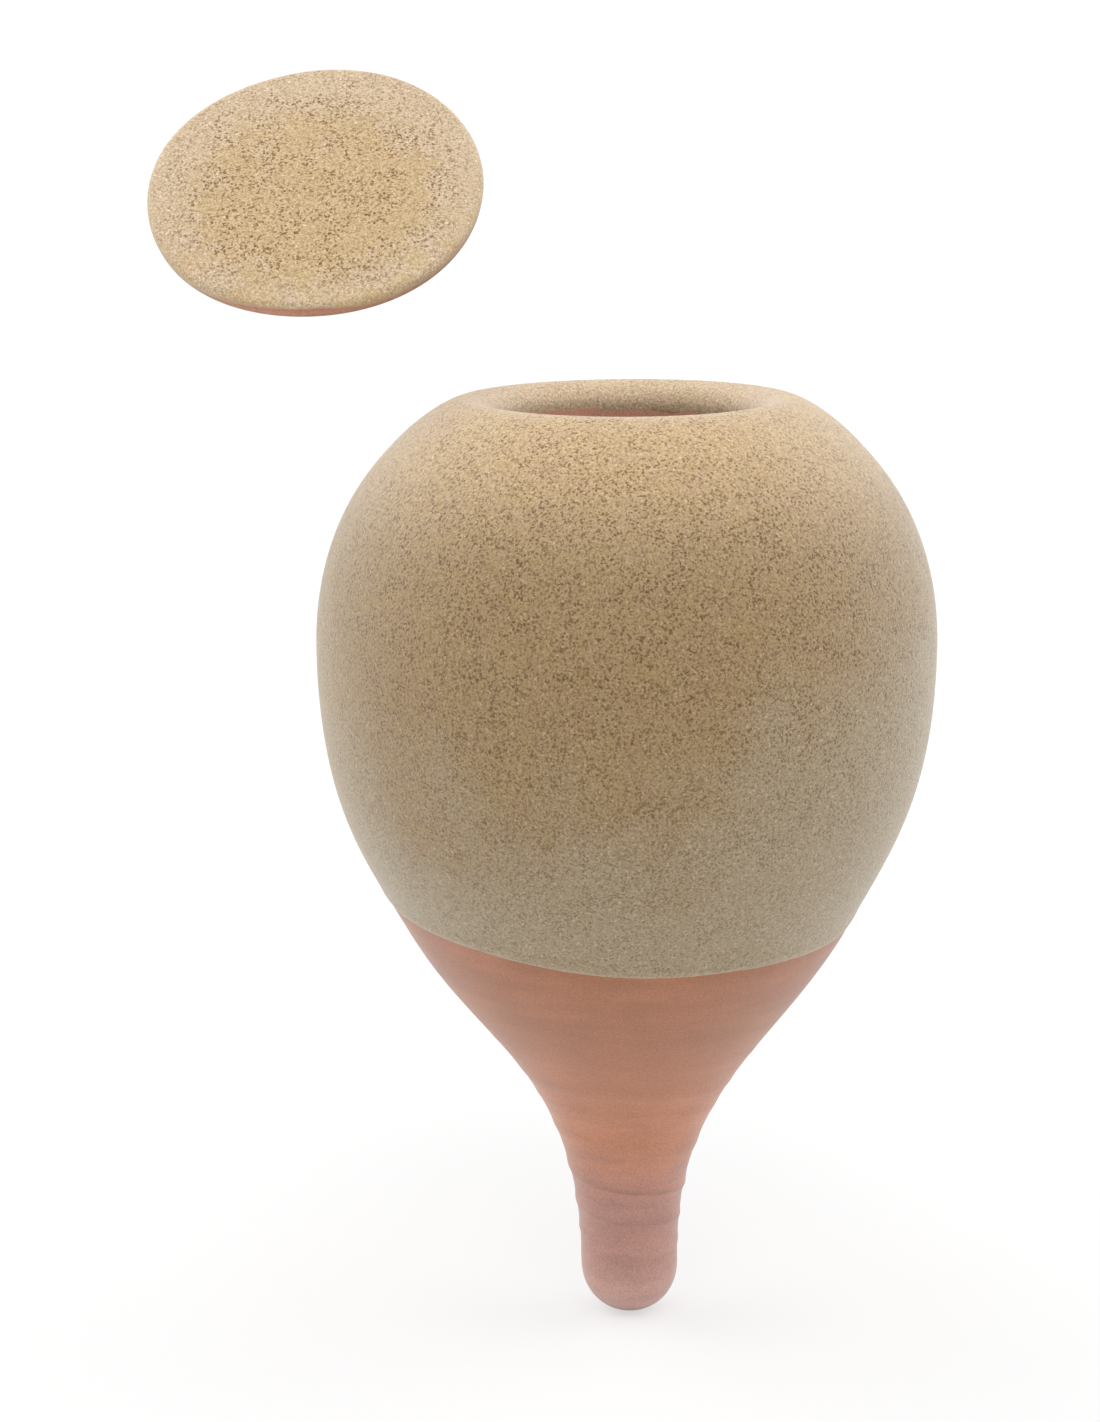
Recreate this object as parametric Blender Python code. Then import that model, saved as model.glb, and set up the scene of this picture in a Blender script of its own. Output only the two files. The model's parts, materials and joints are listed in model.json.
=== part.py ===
"""A garden olla: a wheel-thrown watering vessel whose root is pushed into the soil, and its loose lid.

Metres, +Z up. The origin lies on the vessel's axis at the soil line, the height of the glaze's
lowest place. The root below it is bare terracotta, through which water seeps out; the bulb above it
is glazed, so that it stays dry. Both halves of the pot are turned from one outline: the glaze lies on
it, and the clay stays a coat's depth inside it wherever it is glazed.
"""

import math

import bmesh
import bpy
import numpy as np
from mathutils import Quaternion, Vector

MM = 0.001

# Vessel, outside. Heights and depths are from the soil line.
RIM_RADIUS = 38.5 * MM
RIM_HEIGHT = 129.3 * MM
SHOULDER_SPREAD = 16.4 * MM
SHOULDER_DROP = 10.2 * MM
SHOULDER_SLOPE = 1.025
BELLY_RADIUS = 75.0 * MM
BELLY_HEIGHT = 69.8 * MM
SOIL_RADIUS = 54.2 * MM
SOIL_SLOPE = 0.559
ROOT_RADIUS = 12.0 * MM
ROOT_DEPTH = 100.8 * MM
ROOT_END = 12.5 * MM

# How full the outline's curves are on each side of those places: shares of the stretch they shape.
RIM_FULLNESS = 0.315
SHOULDER_FULLNESS = (0.206, 0.355)
BELLY_FULLNESS = (0.57, 0.535)
SOIL_FULLNESS = (0.265, 0.342)
ROOT_FULLNESS = 0.548
END_FULLNESS = 0.58

# The root was pulled slightly off the vessel's axis, towards +X, as it was thrown.
ROOT_DRIFT = 0.55 * MM
DRIFT_DEPTH = 35.0 * MM

# Vessel, inside.
WALL = 6.0 * MM
ROOT_WALL = 6.5 * MM
ROOT_FLOOR = 12.5 * MM
LIP_ROLL = 7.0 * MM
LIP_DROP = 6.5 * MM
LIP_THICKNESS = 11.0 * MM
LIP_UNDERCUT = 3.5 * MM
INSIDE_FULLNESS = (0.30, 0.687)

# Throwing rings left on the root by the potter's fingers: one spiral that falls towards +X in front.
# Its turns swell slowly and step in sharply below. Each pair is the depth at which a turn steps in
# where it passes the front, and how hard it was pressed there.
RING_TURNS = (
    (21.5 * MM, 0.0),
    (30.0 * MM, 0.25),
    (39.1 * MM, 0.5),
    (45.1 * MM, 0.45),
    (55.3 * MM, 0.8),
    (66.3 * MM, 1.0),
    (74.8 * MM, 0.8),
    (81.2 * MM, 0.7),
    (90.0 * MM, 0.0),
)
RING_SWELL = 0.25 * MM
RING_SWEEP = 2.0

# Glaze. Its coat stands slightly proud of the clay at its foot, and the clay comes back out to the
# outline just below. The pot was dipped askew, so the foot lies in a slanted plane, whose height on the
# vessel's axis is given, and touches the soil line in front.
GLAZE = 0.5 * MM
GLAZE_GAP = 0.3 * MM
GLAZE_PROUD = 0.2 * MM
CLAY_RETURN = 3.0 * MM
GLAZE_EDGE = 0.3 * MM
GLAZE_FOOT = 6.2 * MM
GLAZE_TILT = math.radians(6.4)
GLAZE_RISE_BEARING = math.radians(118)
TILT_REACH = 25.0 * MM

# Lid. Heights are from its seat, the flat ring that rests on the rim.
LID_RADIUS = 41.0 * MM
LID_HEIGHT = 6.3 * MM
LID_CROWN = 2.0 * MM
LID_ROUND = 2.2 * MM
EDGE_FULLNESS = 0.6
LID_CLAY_BAND = 2.0 * MM
LID_FOOT_ROUND = 1.0 * MM
LID_SEAT_WIDTH = 8.0 * MM
LID_DISH = 1.5 * MM
LID_SEAT_GAP = 0.3 * MM

# The lid is rolled and cut by hand, so its edge wanders from a circle: lobes, swing and direction.
LID_LOBES = (
    (3, 0.235 * MM, math.radians(-13)),
    (4, 0.19 * MM, math.radians(-72)),
    (5, 0.105 * MM, math.radians(41)),
)

# Where the lid is held beside the open mouth: it swings there about one slanted line.
SWING_LEFT = 58.5 * MM
SWING_FORWARD = 36.3 * MM
SWING_RISE = 13.0 * MM
SWING_AXIS_BEARING = math.radians(-40.6)
SWING_AXIS_SLANT = math.radians(57.5)
SWING_ANGLE = math.radians(80.6)

# Facets.
SEGMENTS = 40
LIP_STEPS = 5
SHOULDER_STEPS = 4
BELLY_STEPS = 7
NECK_STEPS = 3
ROWS_PER_TURN = 5
END_STEPS = 4
ROUND_STEPS = 3
INSIDE_STEPS = 7
CROWN_STEPS = 3
FINE_STEPS = 240
MERGE = 0.001 * MM
SHARP_ANGLE = math.radians(50)

TERRACOTTA = ("bare_terracotta", (0.43, 0.20, 0.135), 0.85)
SPECKLED_GLAZE = ("speckled_glaze", (0.39, 0.29, 0.18), 0.55)


def clear_scene():
    for item in list(bpy.data.objects):
        bpy.data.objects.remove(item, do_unlink=True)


def make_material(name, colour, roughness):
    material = bpy.data.materials.new(name)
    material.use_nodes = True
    material.diffuse_color = (*colour, 1.0)
    shader = material.node_tree.nodes["Principled BSDF"]
    shader.inputs["Base Color"].default_value = (*colour, 1.0)
    shader.inputs["Roughness"].default_value = roughness
    shader.inputs["Metallic"].default_value = 0.0
    return material


def bezier(start, start_pull, end_pull, end, steps):
    """Points of a cubic curve, both ends included."""
    t = np.linspace(0.0, 1.0, steps + 1)[:, None]
    start, end = np.array(start), np.array(end)
    leave, arrive = start + np.array(start_pull), end + np.array(end_pull)
    return (1 - t) ** 3 * start + 3 * (1 - t) ** 2 * t * leave + 3 * (1 - t) * t**2 * arrive + t**3 * end


def quarter(centre, across, up, first, last, steps):
    """Points of an ellipse's arc from angle first to angle last, in degrees."""
    angle = np.radians(np.linspace(first, last, steps + 1))
    return np.column_stack([centre[0] + across * np.cos(angle), centre[1] + up * np.sin(angle)])


def chain(*stretches):
    """Stretches joined end to end, with each shared point kept once."""
    points = [stretches[0]]
    for stretch in stretches[1:]:
        points.append(stretch[1:])
    return np.vstack(points)


def inward(points, depth):
    """The same stretch, moved depth into the wall that lies on its right-hand side."""
    along = np.gradient(points, axis=0)
    along /= np.linalg.norm(along, axis=1)[:, None]
    return points + depth * np.column_stack([along[:, 1], -along[:, 0]])


def shoulder(steps):
    """The outline from the crest of the rim over the shoulder to the belly."""
    turn_radius = RIM_RADIUS + SHOULDER_SPREAD
    turn_height = RIM_HEIGHT - SHOULDER_DROP
    spread = BELLY_RADIUS - turn_radius
    before = SHOULDER_FULLNESS[0] * SHOULDER_SPREAD
    after = SHOULDER_FULLNESS[1] * spread
    crest = bezier(
        (RIM_RADIUS, RIM_HEIGHT),
        (RIM_FULLNESS * SHOULDER_SPREAD, 0.0),
        (-before, SHOULDER_SLOPE * before),
        (turn_radius, turn_height),
        steps,
    )
    side = bezier(
        (turn_radius, turn_height),
        (after, -SHOULDER_SLOPE * after),
        (0.0, BELLY_FULLNESS[0] * (turn_height - BELLY_HEIGHT)),
        (BELLY_RADIUS, BELLY_HEIGHT),
        steps,
    )
    return chain(crest, side)


def flank(belly_radius, soil_radius, steps):
    """From the belly down to the soil line, outside or inside the wall."""
    soil_pull = SOIL_FULLNESS[0] * BELLY_HEIGHT
    return bezier(
        (belly_radius, BELLY_HEIGHT),
        (0.0, -BELLY_FULLNESS[1] * BELLY_HEIGHT),
        (SOIL_SLOPE * soil_pull, soil_pull),
        (soil_radius, 0.0),
        steps,
    )


def shank(soil_radius, end_radius, end_depth, steps):
    """From the soil line down to where the root's end, or its bore's, turns round."""
    soil_pull = SOIL_FULLNESS[1] * end_depth
    return bezier(
        (soil_radius, 0.0),
        (-SOIL_SLOPE * soil_pull, -soil_pull),
        (0.0, ROOT_FULLNESS * end_depth),
        (end_radius, -end_depth),
        steps,
    )


def outline_below_crest():
    """The whole outside from the crest to the root's round end, finely stepped."""
    return chain(
        shoulder(FINE_STEPS),
        flank(BELLY_RADIUS, SOIL_RADIUS, FINE_STEPS),
        shank(SOIL_RADIUS, ROOT_RADIUS, ROOT_DEPTH - ROOT_END, FINE_STEPS),
    )


OUTLINE = outline_below_crest()


def outline_radius(height):
    """The outline's radius at a height, or at each of several heights."""
    return np.interp(height, OUTLINE[::-1, 1], OUTLINE[::-1, 0])


def outline_at(heights):
    return np.column_stack([outline_radius(heights), heights])


def lip_curl(steps):
    """From the mouth's narrowest place up over the lip to the crest."""
    return quarter((RIM_RADIUS, RIM_HEIGHT - LIP_DROP), LIP_ROLL, LIP_DROP, 180, 90, steps)


def glazed_outline(foot):
    """The outline under the glaze: mouth, lip, shoulder, belly, and down to the height foot."""
    return chain(
        lip_curl(LIP_STEPS),
        shoulder(SHOULDER_STEPS),
        outline_at(np.linspace(BELLY_HEIGHT, foot, BELLY_STEPS + 1)),
    )


def bare_outline():
    """The clay outside the glaze, from the coat's foot down to the pole of the root's round end."""
    root_end = ROOT_END - ROOT_DEPTH
    rings_start = -RING_TURNS[0][0]
    step = outline_at(np.array([GLAZE_FOOT - GLAZE_GAP]))
    step[:, 0] -= GLAZE_PROUD
    neck = np.linspace(GLAZE_FOOT - CLAY_RETURN, rings_start, NECK_STEPS + 1)
    ringed = np.linspace(rings_start, root_end, len(RING_TURNS) * ROWS_PER_TURN + 1)
    side = outline_at(np.concatenate([neck, ringed[1:]]))
    end = bezier(
        (ROOT_RADIUS, root_end),
        (0.0, -END_FULLNESS * ROOT_END),
        (END_FULLNESS * ROOT_RADIUS, 0.0),
        (0.0, -ROOT_DEPTH),
        END_STEPS,
    )
    return np.vstack([step, chain(side, end)])


def inside_outline():
    """The inside of the clay, from under the lip to the pole of the bore's round bottom."""
    mouth_radius = RIM_RADIUS - LIP_ROLL + GLAZE_PROUD
    lip_height = RIM_HEIGHT - LIP_DROP - GLAZE_GAP
    under_drop = LIP_THICKNESS - LIP_DROP - GLAZE_GAP
    curl_centre = (mouth_radius + LIP_UNDERCUT, lip_height)
    under_lip = quarter(curl_centre, LIP_UNDERCUT, under_drop, 180, 270, ROUND_STEPS)
    belly_radius = BELLY_RADIUS - WALL
    soil_radius = SOIL_RADIUS - WALL * math.hypot(1.0, SOIL_SLOPE)
    bore_radius = ROOT_RADIUS - ROOT_WALL
    bore_depth = ROOT_DEPTH - ROOT_FLOOR - bore_radius
    dome = bezier(
        under_lip[-1],
        (INSIDE_FULLNESS[0] * (belly_radius - curl_centre[0]), 0.0),
        (0.0, INSIDE_FULLNESS[1] * (under_lip[-1][1] - BELLY_HEIGHT)),
        (belly_radius, BELLY_HEIGHT),
        INSIDE_STEPS,
    )
    cone = flank(belly_radius, soil_radius, INSIDE_STEPS)
    bore = shank(soil_radius, bore_radius, bore_depth, INSIDE_STEPS)
    bottom = quarter((0.0, -bore_depth), bore_radius, bore_radius, 0, -90, ROUND_STEPS)
    return chain(under_lip, dome, cone, bore, bottom)


def vessel_profile():
    """Half of the clay's section, open at both poles."""
    seat = inward(glazed_outline(GLAZE_FOOT - GLAZE_GAP), GLAZE + GLAZE_GAP)
    return np.vstack([inside_outline()[::-1], seat, bare_outline()])


def coat_profile(outside):
    """The closed section of a coat of glaze whose outside is given, with softened edges."""
    edge = GLAZE_EDGE * (outside[-1] - outside[-2]) / np.linalg.norm(outside[-1] - outside[-2])
    back = inward(outside, GLAZE)
    face = outside.copy()
    face[-1] -= edge
    return np.vstack([face, back[::-1]])


def lid_top():
    """The lid's glazed side from the middle of the crown to the clay band on its edge."""
    brow = LID_HEIGHT - LID_CROWN
    inner = LID_RADIUS - LID_ROUND
    slope = np.array([inner, -2.0 * LID_CROWN])
    crown = bezier((0.0, LID_HEIGHT), (inner / 3, 0.0), -slope / 3, (inner, brow), CROWN_STEPS)
    outward = EDGE_FULLNESS * LID_ROUND / inner * slope
    upward = (0.0, EDGE_FULLNESS * (brow - LID_CLAY_BAND))
    edge = bezier((inner, brow), outward, upward, (LID_RADIUS, LID_CLAY_BAND), ROUND_STEPS)
    return chain(crown, edge)


def lid_profile():
    """Half of the lid's clay section, open at both poles."""
    covered = inward(lid_top(), GLAZE + GLAZE_GAP)
    covered[0, 0] = 0.0
    covered[-1, 1] -= GLAZE_GAP
    bare_radius = LID_RADIUS - GLAZE_PROUD
    band = np.array([[bare_radius, covered[-1, 1]]])
    foot_centre = (bare_radius - LID_FOOT_ROUND, LID_FOOT_ROUND)
    foot = quarter(foot_centre, LID_FOOT_ROUND, LID_FOOT_ROUND, 0, -90, ROUND_STEPS)
    seat_inner = foot_centre[0] - LID_SEAT_WIDTH
    ease = seat_inner / 3
    dish = bezier((seat_inner, 0.0), (-ease, 0.0), (ease, 0.0), (0.0, LID_DISH), CROWN_STEPS)
    return np.vstack([covered, band, foot, dish])


def lid_coat_profile():
    """Half of the lid's coat of glaze, open at both poles."""
    coat = coat_profile(lid_top())
    coat[0, 0] = coat[-1, 0] = 0.0
    return coat


def turn(profile, closed):
    """A profile of radius and height turned once round Z."""
    shape = bmesh.new()
    points = [shape.verts.new((radius, 0.0, height)) for radius, height in profile]
    edges = [shape.edges.new(pair) for pair in zip(points, points[1:])]
    if closed:
        edges.append(shape.edges.new((points[-1], points[0])))
    bmesh.ops.spin(
        shape,
        geom=points + edges,
        cent=(0.0, 0.0, 0.0),
        axis=(0.0, 0.0, 1.0),
        dvec=(0.0, 0.0, 0.0),
        angle=math.tau,
        steps=SEGMENTS,
        use_merge=True,
    )
    bmesh.ops.remove_doubles(shape, verts=shape.verts, dist=MERGE)
    bmesh.ops.recalc_face_normals(shape, faces=shape.faces)
    return shape


def ring_height(height, bearing):
    """How far the spiral of throwing rings stands out at a place on the root."""
    depths, presses = zip(*RING_TURNS)
    press = np.interp(-height, depths, presses, left=0.0, right=0.0)
    past_front = bearing / math.tau + 0.25
    turns = np.interp(-height, depths, range(len(depths))) - past_front
    place = (turns + 0.75 ** (1.0 / RING_SWEEP)) % 1.0
    return -RING_SWELL * press * math.cos(math.tau * place**RING_SWEEP)


def draw_root_aside(shape):
    """Move the root and its bore off the vessel's axis, more and more down to the drift's depth."""
    for point in shape.verts:
        share = min(1.0, max(0.0, -point.co.z / DRIFT_DEPTH))
        point.co.x += ROOT_DRIFT * share**2 * (3.0 - 2.0 * share)


def press_rings(shape):
    """Press the throwing rings into the outside of the root."""
    for point in shape.verts:
        radius = math.hypot(point.co.x, point.co.y)
        if point.co.z < -RING_TURNS[0][0] and radius > outline_radius(point.co.z) - 0.5 * ROOT_WALL:
            swell = 1.0 + ring_height(point.co.z, math.atan2(point.co.y, point.co.x)) / radius
            point.co.x *= swell
            point.co.y *= swell


def tilt_glaze_line(shape):
    """Slide the outside along the wall near the coat's foot until the foot lies in its slanted plane."""
    slope_x = math.tan(GLAZE_TILT) * math.cos(GLAZE_RISE_BEARING)
    slope_y = math.tan(GLAZE_TILT) * math.sin(GLAZE_RISE_BEARING)
    for point in shape.verts:
        height = point.co.z
        from_foot = (height - GLAZE_FOOT) / TILT_REACH
        radius = math.hypot(point.co.x, point.co.y)
        if abs(from_foot) > 1.0 or radius < outline_radius(height) - 0.5 * WALL:
            continue
        rise = slope_x * point.co.x + slope_y * point.co.y
        moved = height + rise * (1.0 - from_foot**2) ** 2
        swell = 1.0 + (outline_radius(moved) - outline_radius(height)) / radius
        point.co = Vector((point.co.x * swell, point.co.y * swell, moved))


def let_edge_wander(shape):
    """Give the lid its hand-cut edge."""
    for point in shape.verts:
        bearing = math.atan2(point.co.y, point.co.x)
        wander = sum(swing * math.cos(lobes * bearing - place) for lobes, swing, place in LID_LOBES)
        point.co.x *= 1.0 + wander / LID_RADIUS
        point.co.y *= 1.0 + wander / LID_RADIUS


def add_piece(name, shape, material):
    mesh = bpy.data.meshes.new(name)
    shape.to_mesh(mesh)
    shape.free()
    mesh.materials.append(material)
    mesh.shade_smooth()
    mesh.set_sharp_from_angle(angle=SHARP_ANGLE)
    piece = bpy.data.objects.new(name, mesh)
    bpy.context.scene.collection.objects.link(piece)
    return piece


def add_vessel(clay, glaze):
    body = turn(vessel_profile(), closed=False)
    press_rings(body)
    tilt_glaze_line(body)
    draw_root_aside(body)
    add_piece("vessel_body", body, clay)
    coat = turn(coat_profile(glazed_outline(GLAZE_FOOT)), closed=True)
    tilt_glaze_line(coat)
    draw_root_aside(coat)
    add_piece("vessel_glaze", coat, glaze)


def add_lid(clay, glaze):
    """The lid, made on its seat and then swung aside with the empty that carries it."""
    swing = bpy.data.objects.new("lid_swing", None)
    bpy.context.scene.collection.objects.link(swing)
    swing.location = (-SWING_LEFT, -SWING_FORWARD, RIM_HEIGHT + SWING_RISE)
    axis = Vector((math.cos(SWING_AXIS_BEARING), math.sin(SWING_AXIS_BEARING), math.tan(SWING_AXIS_SLANT)))
    swing.rotation_mode = "QUATERNION"
    swing.rotation_quaternion = Quaternion(axis, SWING_ANGLE)
    for name, profile, material in (
        ("lid_body", lid_profile(), clay),
        ("lid_glaze", lid_coat_profile(), glaze),
    ):
        shape = turn(profile, closed=False)
        let_edge_wander(shape)
        piece = add_piece(name, shape, material)
        piece.parent = swing
        piece.location = Vector((0.0, 0.0, RIM_HEIGHT + LID_SEAT_GAP)) - swing.location


def main():
    clear_scene()
    clay = make_material(*TERRACOTTA)
    glaze = make_material(*SPECKLED_GLAZE)
    add_vessel(clay, glaze)
    add_lid(clay, glaze)


main()
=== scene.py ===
# %% [markdown]
# # A garden olla, thrown in clay and half dipped in glaze
#
# An olla is a clay vessel that waters a garden bed. Its bare root is pushed into the soil, the
# round bulb is filled through the open mouth, and the water seeps out through the clay. A loose
# lid keeps leaves and insects out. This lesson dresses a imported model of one: the model's four
# solids give the sizes and the way the lid moves, and every surface that shows is made here.
#
# Everything is in metres. The origin lies on the vessel's axis at the soil line, and +Z is up.
# The photograph looks towards +Y, so the front of the pot lies at a bearing of -90 degrees.

# %% Load the frame
import json
import math

import bmesh
import bpy
import numpy as np
from mathutils import Matrix, Vector, noise


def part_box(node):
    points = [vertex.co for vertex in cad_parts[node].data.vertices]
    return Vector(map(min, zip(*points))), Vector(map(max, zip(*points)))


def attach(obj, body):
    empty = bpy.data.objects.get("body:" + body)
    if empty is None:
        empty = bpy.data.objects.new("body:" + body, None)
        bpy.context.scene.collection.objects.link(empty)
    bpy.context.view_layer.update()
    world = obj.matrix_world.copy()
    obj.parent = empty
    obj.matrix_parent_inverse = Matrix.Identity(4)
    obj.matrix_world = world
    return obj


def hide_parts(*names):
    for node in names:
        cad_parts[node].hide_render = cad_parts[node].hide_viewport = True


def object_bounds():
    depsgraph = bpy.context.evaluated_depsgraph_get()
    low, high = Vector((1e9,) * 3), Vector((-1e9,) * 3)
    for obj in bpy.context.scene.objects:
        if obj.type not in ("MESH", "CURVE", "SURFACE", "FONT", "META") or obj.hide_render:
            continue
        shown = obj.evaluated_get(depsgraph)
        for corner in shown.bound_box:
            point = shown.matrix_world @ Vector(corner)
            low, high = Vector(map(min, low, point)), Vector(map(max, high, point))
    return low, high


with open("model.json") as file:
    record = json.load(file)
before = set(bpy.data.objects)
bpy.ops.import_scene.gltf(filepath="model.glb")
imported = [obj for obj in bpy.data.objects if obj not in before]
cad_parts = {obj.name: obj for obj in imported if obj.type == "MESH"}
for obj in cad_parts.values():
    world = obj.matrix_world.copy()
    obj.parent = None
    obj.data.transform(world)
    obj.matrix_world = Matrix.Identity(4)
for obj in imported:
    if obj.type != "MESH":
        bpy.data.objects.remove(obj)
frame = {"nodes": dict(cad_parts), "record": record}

MM = 0.001
cad_box = [list(corner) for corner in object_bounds()]
print("frame:", sorted(frame["nodes"]), "box", cad_box)

# %% [markdown]
# ## The outline
#
# A thrown pot is a solid of revolution, so one line describes it: half of its section, drawn
# beside the axis. A potter thinks of that line as a few places joined by swelling curves, and so
# does this cell. Four Bezier curves run from the crest of the rim over the shoulder, the belly
# and the soil line to the root. Each fullness says how far a curve keeps its first direction, as
# a share of its reach.

# %% Places and fullness of the outline
glaze_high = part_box("vessel_glaze")[1]
body_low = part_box("vessel_body")[0]

RIM_RADIUS = 38.5 * MM
RIM_HEIGHT = glaze_high.z
SHOULDER_SPREAD = 16.4 * MM
SHOULDER_DROP = 10.2 * MM
SHOULDER_SLOPE = 1.025
BELLY_RADIUS = glaze_high.x
BELLY_HEIGHT = 69.8 * MM
SOIL_RADIUS = 54.2 * MM
SOIL_SLOPE = 0.559
ROOT_RADIUS = 12.0 * MM
ROOT_DEPTH = -body_low.z
ROOT_END = 12.5 * MM

RIM_FULLNESS = 0.315
SHOULDER_FULLNESS = (0.206, 0.355)
BELLY_FULLNESS = (0.57, 0.535)
SOIL_FULLNESS = (0.265, 0.342)
ROOT_FULLNESS = 0.548
END_FULLNESS = 0.58
FINE = 400      # steps in a curve before its points are spaced again
print("belly", round(2 * BELLY_RADIUS / MM, 1), "mm wide")
print("rim", round(RIM_HEIGHT / MM, 1), "mm high")


# %% Curves in the plane of the section
def bezier(start, start_pull, end_pull, end, steps):
    """Points of a cubic curve, both ends included."""
    t = np.linspace(0.0, 1.0, steps + 1)[:, None]
    start, end = np.array(start), np.array(end)
    leave, arrive = start + np.array(start_pull), end + np.array(end_pull)
    curve = (1 - t) ** 3 * start + 3 * (1 - t) ** 2 * t * leave
    return curve + 3 * (1 - t) * t**2 * arrive + t**3 * end


def quarter(centre, across, up, first, last, steps):
    """Points of an ellipse's arc from angle first to angle last, in degrees."""
    angle = np.radians(np.linspace(first, last, steps + 1))
    return np.column_stack([centre[0] + across * np.cos(angle), centre[1] + up * np.sin(angle)])


def chain(*stretches):
    """Stretches joined end to end, with each shared point kept once."""
    points = [stretches[0]]
    for stretch in stretches[1:]:
        points.append(stretch[1:])
    return np.vstack(points)


def inward(points, depth):
    """The same stretch, moved into the wall on its right-hand side, by one depth or one a point."""
    along = np.gradient(points, axis=0)
    along /= np.linalg.norm(along, axis=1)[:, None]
    return points + np.multiply(np.column_stack([along[:, 1], -along[:, 0]]).T, depth).T


def run_of(points):
    """How far along the stretch each of its points lies."""
    return np.concatenate([[0.0], np.cumsum(np.linalg.norm(np.diff(points, axis=0), axis=1))])


def at_stops(points, stops):
    """The places on a stretch at the given distances along it."""
    run = run_of(points)
    return np.column_stack([np.interp(stops, run, points[:, axis]) for axis in (0, 1)])


def evenly(points, spacing):
    """The same stretch with its points spaced evenly along it."""
    length = run_of(points)[-1]
    return at_stops(points, np.linspace(0.0, length, math.ceil(length / spacing) + 1))


# %% The outline, from the crest to the root's round end
def shoulder():
    """From the crest of the rim over the shoulder to the widest place of the belly."""
    turn_radius = RIM_RADIUS + SHOULDER_SPREAD
    turn_height = RIM_HEIGHT - SHOULDER_DROP
    before = SHOULDER_FULLNESS[0] * SHOULDER_SPREAD
    after = SHOULDER_FULLNESS[1] * (BELLY_RADIUS - turn_radius)
    crest = bezier(
        (RIM_RADIUS, RIM_HEIGHT),
        (RIM_FULLNESS * SHOULDER_SPREAD, 0.0),
        (-before, SHOULDER_SLOPE * before),
        (turn_radius, turn_height),
        FINE,
    )
    side = bezier(
        (turn_radius, turn_height),
        (after, -SHOULDER_SLOPE * after),
        (0.0, BELLY_FULLNESS[0] * (turn_height - BELLY_HEIGHT)),
        (BELLY_RADIUS, BELLY_HEIGHT),
        FINE,
    )
    return chain(crest, side)


def flank(belly_radius, soil_radius):
    """From the widest place of the belly down to the soil line."""
    pull = SOIL_FULLNESS[0] * BELLY_HEIGHT
    return bezier(
        (belly_radius, BELLY_HEIGHT),
        (0.0, -BELLY_FULLNESS[1] * BELLY_HEIGHT),
        (SOIL_SLOPE * pull, pull),
        (soil_radius, 0.0),
        FINE,
    )


def shank(soil_radius, end_radius, end_depth):
    """From the soil line down the taper and the root to where its round end begins."""
    pull = SOIL_FULLNESS[1] * end_depth
    return bezier(
        (soil_radius, 0.0),
        (-SOIL_SLOPE * pull, -pull),
        (0.0, ROOT_FULLNESS * end_depth),
        (end_radius, -end_depth),
        FINE,
    )


OUTLINE = chain(
    shoulder(),
    flank(BELLY_RADIUS, SOIL_RADIUS),
    shank(SOIL_RADIUS, ROOT_RADIUS, ROOT_DEPTH - ROOT_END),
)


def outline_radius(height):
    return np.interp(height, OUTLINE[::-1, 1], OUTLINE[::-1, 0])


def outline_between(top, bottom):
    """The part of the outline between two heights."""
    heights = np.linspace(top, bottom, FINE)
    return np.column_stack([outline_radius(heights), heights])


print("outline:", len(OUTLINE), "points,", round(run_of(OUTLINE)[-1] / MM), "mm along")

# %% [markdown]
# ## Turning on the wheel
#
# `bmesh.ops.spin` does what the wheel does: it sweeps the half section round the axis. With
# `use_merge` the last ring is welded to the first. Points that lie on the axis come out once for
# each step, so they are merged into poles, and the normals are worked out again afterwards,
# because a spin can leave a shape inside out.
#
# A value can ride on the mesh as an attribute. `from_edge` is one: it tells each point how far it
# lies from the edge of its coat of glaze, and the glaze's finish reads it later.

# %% Turn a section
WELD = 0.002 * MM


def turn(profile, segments, closed, edge_run=None):
    """A section of radius and height turned once round Z, as a bmesh."""
    shape = bmesh.new()
    layer = shape.verts.layers.float.new("from_edge")
    points = [shape.verts.new((radius, 0.0, height)) for radius, height in profile]
    if edge_run is not None:
        for point, distance in zip(points, edge_run):
            point[layer] = distance
    edges = [shape.edges.new(pair) for pair in zip(points, points[1:])]
    if closed:
        edges.append(shape.edges.new((points[-1], points[0])))
    bmesh.ops.spin(
        shape,
        geom=points + edges,
        cent=(0.0, 0.0, 0.0),
        axis=(0.0, 0.0, 1.0),
        dvec=(0.0, 0.0, 0.0),
        angle=math.tau,
        steps=segments,
        use_merge=True,
    )
    bmesh.ops.remove_doubles(shape, verts=shape.verts, dist=WELD)
    bmesh.ops.recalc_face_normals(shape, faces=shape.faces)
    return shape


# %% [markdown]
# ## What the hand leaves
#
# Five things keep a thrown pot from looking lathe-cut. The potter's fingers leave one spiral of
# throwing rings on the root: each turn swells slowly and steps in sharply below, and some were
# pressed harder than others. The root was drawn slightly off the axis. The wall swells and sinks
# a little all over. The rim has sunk a little at the back. And the pot was dipped askew, so the
# glaze ends in a slanted plane, with a slow wave and small nicks in its edge. Each is a function
# of height and bearing, so that the clay and the glaze over it move alike.


# %% Two helpers for uneven things
def eased(share):
    """A share from 0 to 1 that starts and stops gently."""
    share = min(1.0, max(0.0, share))
    return share**2 * (3.0 - 2.0 * share)


def wander(x, y, size, layer=0.0):
    """A smooth random value between -1 and 1, which changes over about size metres."""
    return noise.noise(Vector((x, y, layer)) / size)


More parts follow.
